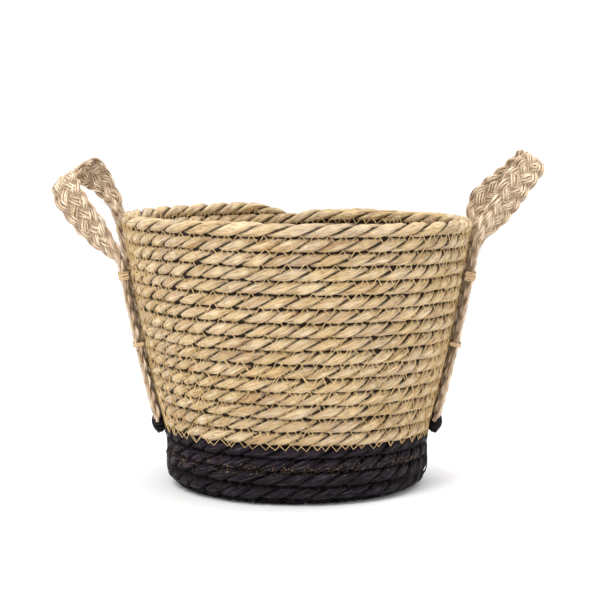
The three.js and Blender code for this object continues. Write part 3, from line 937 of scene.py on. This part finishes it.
def make_black_rope():
    """Dyed leaves: near black with a purple cast, and pale specks where the dye missed."""
    material, tree, surface = new_material("black_rope")
    streaks = add_streaks(tree, 25.0, LEAF_DRIFT, 2.1)
    tone = tree.attribute("tone")
    base = tree.mix(tone, paint(5, 4, 6), paint(20, 14, 20))
    # Painted highlight: the brightest leaf streaks are lifted towards a pale grey sheen.
    ridge = tree.maths("MULTIPLY", tree.maths("POWER", streaks["Streak"], 3.0), 0.5)
    lit = tree.mix(ridge, base, paint(122, 110, 122))
    place = tree.node("ShaderNodeUVMap", uv_map="strand").outputs[0]
    split = tree.node("ShaderNodeSeparateXYZ", {0: place}).outputs
    along = tree.maths("MULTIPLY", split[0], 0.36)
    across = tree.maths("MULTIPLY", split[1], 26.0)
    grain = tree.noise(tree.vector(along, across, 11.0), 1.0, 3.0)
    position = tree.node("ShaderNodeTexCoord").outputs["Object"]
    height = tree.node("ShaderNodeSeparateXYZ", {0: position}).outputs[2]
    off_row = tree.maths("ABSOLUTE", tree.maths("SUBTRACT", height, WORN_ROW_HEIGHT))
    near_row = tree.maths("MULTIPLY", tree.spread(off_row, 0.007, 0.002), 0.09)
    found = tree.spread(tree.maths("ADD", grain, near_row), 0.7, 0.75)
    speck = tree.maths("MULTIPLY", found, 0.75)
    # Painted shade: darker with depth, in the creases, seams and gaps between rows.
    depth = tree.attribute("depth")
    dark = tree.mix(tree.maths("MULTIPLY", depth, 0.95), lit, paint(3, 2, 3))
    tree.feed(surface["Base Color"], tree.mix(speck, dark, paint(206, 168, 118)))
    surface["Roughness"].default_value = 0.55
    surface["Specular IOR Level"].default_value = 0.07
    add_bump(tree, surface, streaks["Height"], 0.0009, 0.8)
    return material


def make_fibre(name, dark, light, girth, roughness, height):
    """Spun fibre, with short streaks, and painted shade in the hollows between the yarns."""
    material, tree, surface = new_material(name)
    streaks = add_streaks(tree, girth, 0.2, 1.4)
    tone = tree.attribute("tone")
    mixed = tree.maths("MULTIPLY_ADD", tone, 0.55, tree.maths("MULTIPLY", streaks["Streak"], 0.45))
    coloured = tree.mix(mixed, dark, light)
    # Painted shade colour, mixed in by depth.
    hollow_shade = tree.mix(1.0, coloured, paint(128, 98, 74), "MULTIPLY")
    shade = tree.maths("MULTIPLY", tree.attribute("depth"), 0.62)
    tree.feed(surface["Base Color"], tree.mix(shade, coloured, hollow_shade))
    surface["Roughness"].default_value = roughness
    surface["Specular IOR Level"].default_value = 0.1
    add_bump(tree, surface, streaks["Height"], height, 0.8)
    return material


seagrass = make_seagrass()
black_rope = make_black_rope()
jute = make_fibre("jute_braid", paint(172, 140, 106), paint(253, 238, 212), 5.4, 0.9, 0.0003)
straw_thread = make_fibre("straw_thread", paint(176, 142, 92), paint(228, 200, 150), 2.0, 0.6, 0.0002)
lash_thread = make_fibre("tan_thread", paint(170, 138, 98), paint(228, 202, 164), 3.5, 0.75, 0.0004)
black_thread = make_fibre("black_thread", paint(12, 9, 11), paint(46, 38, 43), 2.0, 0.6, 0.0002)
black_yarn = make_fibre("black_yarn", paint(14, 12, 14), paint(44, 38, 42), 6.0, 0.85, 0.0005)


# ---- Putting the pieces together ----


def finish_piece(piece, material, slot, body="basket"):
    piece.data.materials.append(material)
    if body:
        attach(piece, body)
    return piece


# Turns before the rope's end at which one piece of the rope gives way to the next.
TOP_TURNS = 5.2
MIDDLE_TURNS = 10.6
FOOT_TURNS = 19.2

ROPE_PIECES = (
    ("seagrass_rows_low", CHANGE_TURNS, MIDDLE_TURNS, seagrass, "seagrass_rope", "natural_rope_coil"),
    ("seagrass_rows_middle", MIDDLE_TURNS, TOP_TURNS, seagrass, "seagrass_rope", "natural_rope_coil"),
    ("seagrass_rows_top", TOP_TURNS, 0, seagrass, "seagrass_rope", "natural_rope_coil"),
    ("black_base", START_TURNS, FOOT_TURNS, black_rope, "black_rope", "black_rope_coil"),
    ("black_foot", FOOT_TURNS, CHANGE_TURNS, black_rope, "black_rope", "black_rope_coil"),
)
for name, first_turn, last_turn, material, slot, coil in ROPE_PIECES:
    piece = finish_piece(rope.make(name, first_turn, last_turn), material, slot)
    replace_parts(piece, coil)

# The net is a second zigzag over the lower rows, where the stitches overlap.
STITCH_PIECES = (
    ("stitches_top", TOP_TURNS, 0.02, 51, straw_thread, "seagrass_rope"),
    ("stitches_middle", MIDDLE_TURNS, TOP_TURNS, 53, straw_thread, "seagrass_rope"),
    ("stitches_low", CHANGE_TURNS - 0.1, MIDDLE_TURNS, 55, straw_thread, "seagrass_rope"),
    ("stitches_net", CHANGE_TURNS, 8.4, 58, straw_thread, "seagrass_rope"),
    ("stitches_black", START_TURNS - 1, CHANGE_TURNS - 0.1, 57, black_thread, "black_rope"),
)
for name, first_turn, last_turn, seed, thread, slot in STITCH_PIECES:
    finish_piece(make_stitches(name, first_turn, last_turn, seed), thread, slot)

LEAF_ENDS = 150
loose_ends = make_leaf_ends("seagrass_loose_ends", LEAF_ENDS, 15.4, 0.1, 91)
finish_piece(loose_ends, seagrass, "seagrass_rope")

FUZZ_FIBRES = 4200

SIDES = (("left", -1, LEFT_LOOP, 71), ("right", 1, RIGHT_LOOP, 83))
for name, side, stations, seed in SIDES:
    braid, strap = make_braid(f"{name}_strap_braid", side, stations, seed)
    fuzz = make_fuzz(f"{name}_strap_fuzz", strap, FUZZ_FIBRES, seed + 5)
    for piece in (braid, fuzz):
        finish_piece(piece, jute, "jute_braid", None)
        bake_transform(piece)
    legs = (f"{name}_front_strap_leg", f"{name}_back_strap_leg")
    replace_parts(braid, f"{name}_handle_loop", *legs)
    for end_name, end in (("front", -1), ("back", 1)):
        leg = f"{name}_{end_name}"
        own = seed + 3 * end
        lash = make_tie(f"{leg}_lash_thread", Seat(side, end, LASH_LENGTH), 7, 0.98, 0.5, own)
        tie = make_tie(f"{leg}_tie_thread", Seat(side, end, TIE_LENGTH), 3, 1.1, 1.2, own + 1)
        knot = make_knot(f"{leg}_yarn_knot", Seat(side, end, KNOT_LENGTH), own + 2)
        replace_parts(finish_piece(lash, lash_thread, "tan_thread"), f"{leg}_upper_lash")
        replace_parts(finish_piece(tie, lash_thread, "tan_thread"), f"{leg}_middle_tie")
        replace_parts(finish_piece(knot, black_yarn, "black_yarn"), f"{leg}_black_knot")


# ---- Floor, light and camera ----

FLOOR_HALF = 6.0
SKY_STRENGTH = 1.12
LIGHT_TARGET = (0, 0, 0.1)
CAMERA_PLACE = (0.0024, -1.365, 0.283)
CAMERA_DOWN = 5.71  # degrees below level
CAMERA_LENS = 102.6


def make_floor():
    mesh = bpy.data.meshes.new("floor")
    half = FLOOR_HALF
    corners = [(-half, -half, 0), (half, -half, 0), (half, half, 0), (-half, half, 0)]
    mesh.from_pydata(corners, [], [(0, 1, 2, 3)])
    floor = bpy.data.objects.new("floor", mesh)
    bpy.context.scene.collection.objects.link(floor)
    material, _, surface = new_material("floor_white")
    surface["Base Color"].default_value = (0.92, 0.92, 0.925, 1)
    surface["Roughness"].default_value = 0.9
    mesh.materials.append(material)


def add_light(name, place, target, size, power):
    light = bpy.data.lights.new(name, "AREA")
    light.shape = "DISK"
    light.size = size
    light.energy = power
    lamp = bpy.data.objects.new(name, light)
    lamp.location = place
    lamp.rotation_euler = (Vector(target) - Vector(place)).to_track_quat("-Z", "Y").to_euler()
    bpy.context.scene.collection.objects.link(lamp)


def set_stage():
    scene = bpy.context.scene
    make_floor()
    world = bpy.data.worlds.new("studio")
    world.use_nodes = True
    back = world.node_tree.nodes["Background"].inputs
    back["Color"].default_value = (1, 1, 1, 1)
    back["Strength"].default_value = SKY_STRENGTH
    scene.world = world
    scene.view_settings.view_transform = "Standard"
    add_light("key", (-0.7, -1.2, 1.6), LIGHT_TARGET, 0.8, 20)
    add_light("top", (0.4, 0.1, 1.9), LIGHT_TARGET, 0.9, 16)

    camera = bpy.data.cameras.new("camera")
    camera.lens = CAMERA_LENS
    camera.sensor_width = 36
    holder = bpy.data.objects.new("camera", camera)
    holder.location = CAMERA_PLACE
    holder.rotation_euler = (math.radians(90 - CAMERA_DOWN), 0, 0)
    scene.collection.objects.link(holder)
    scene.camera = holder


set_stage()
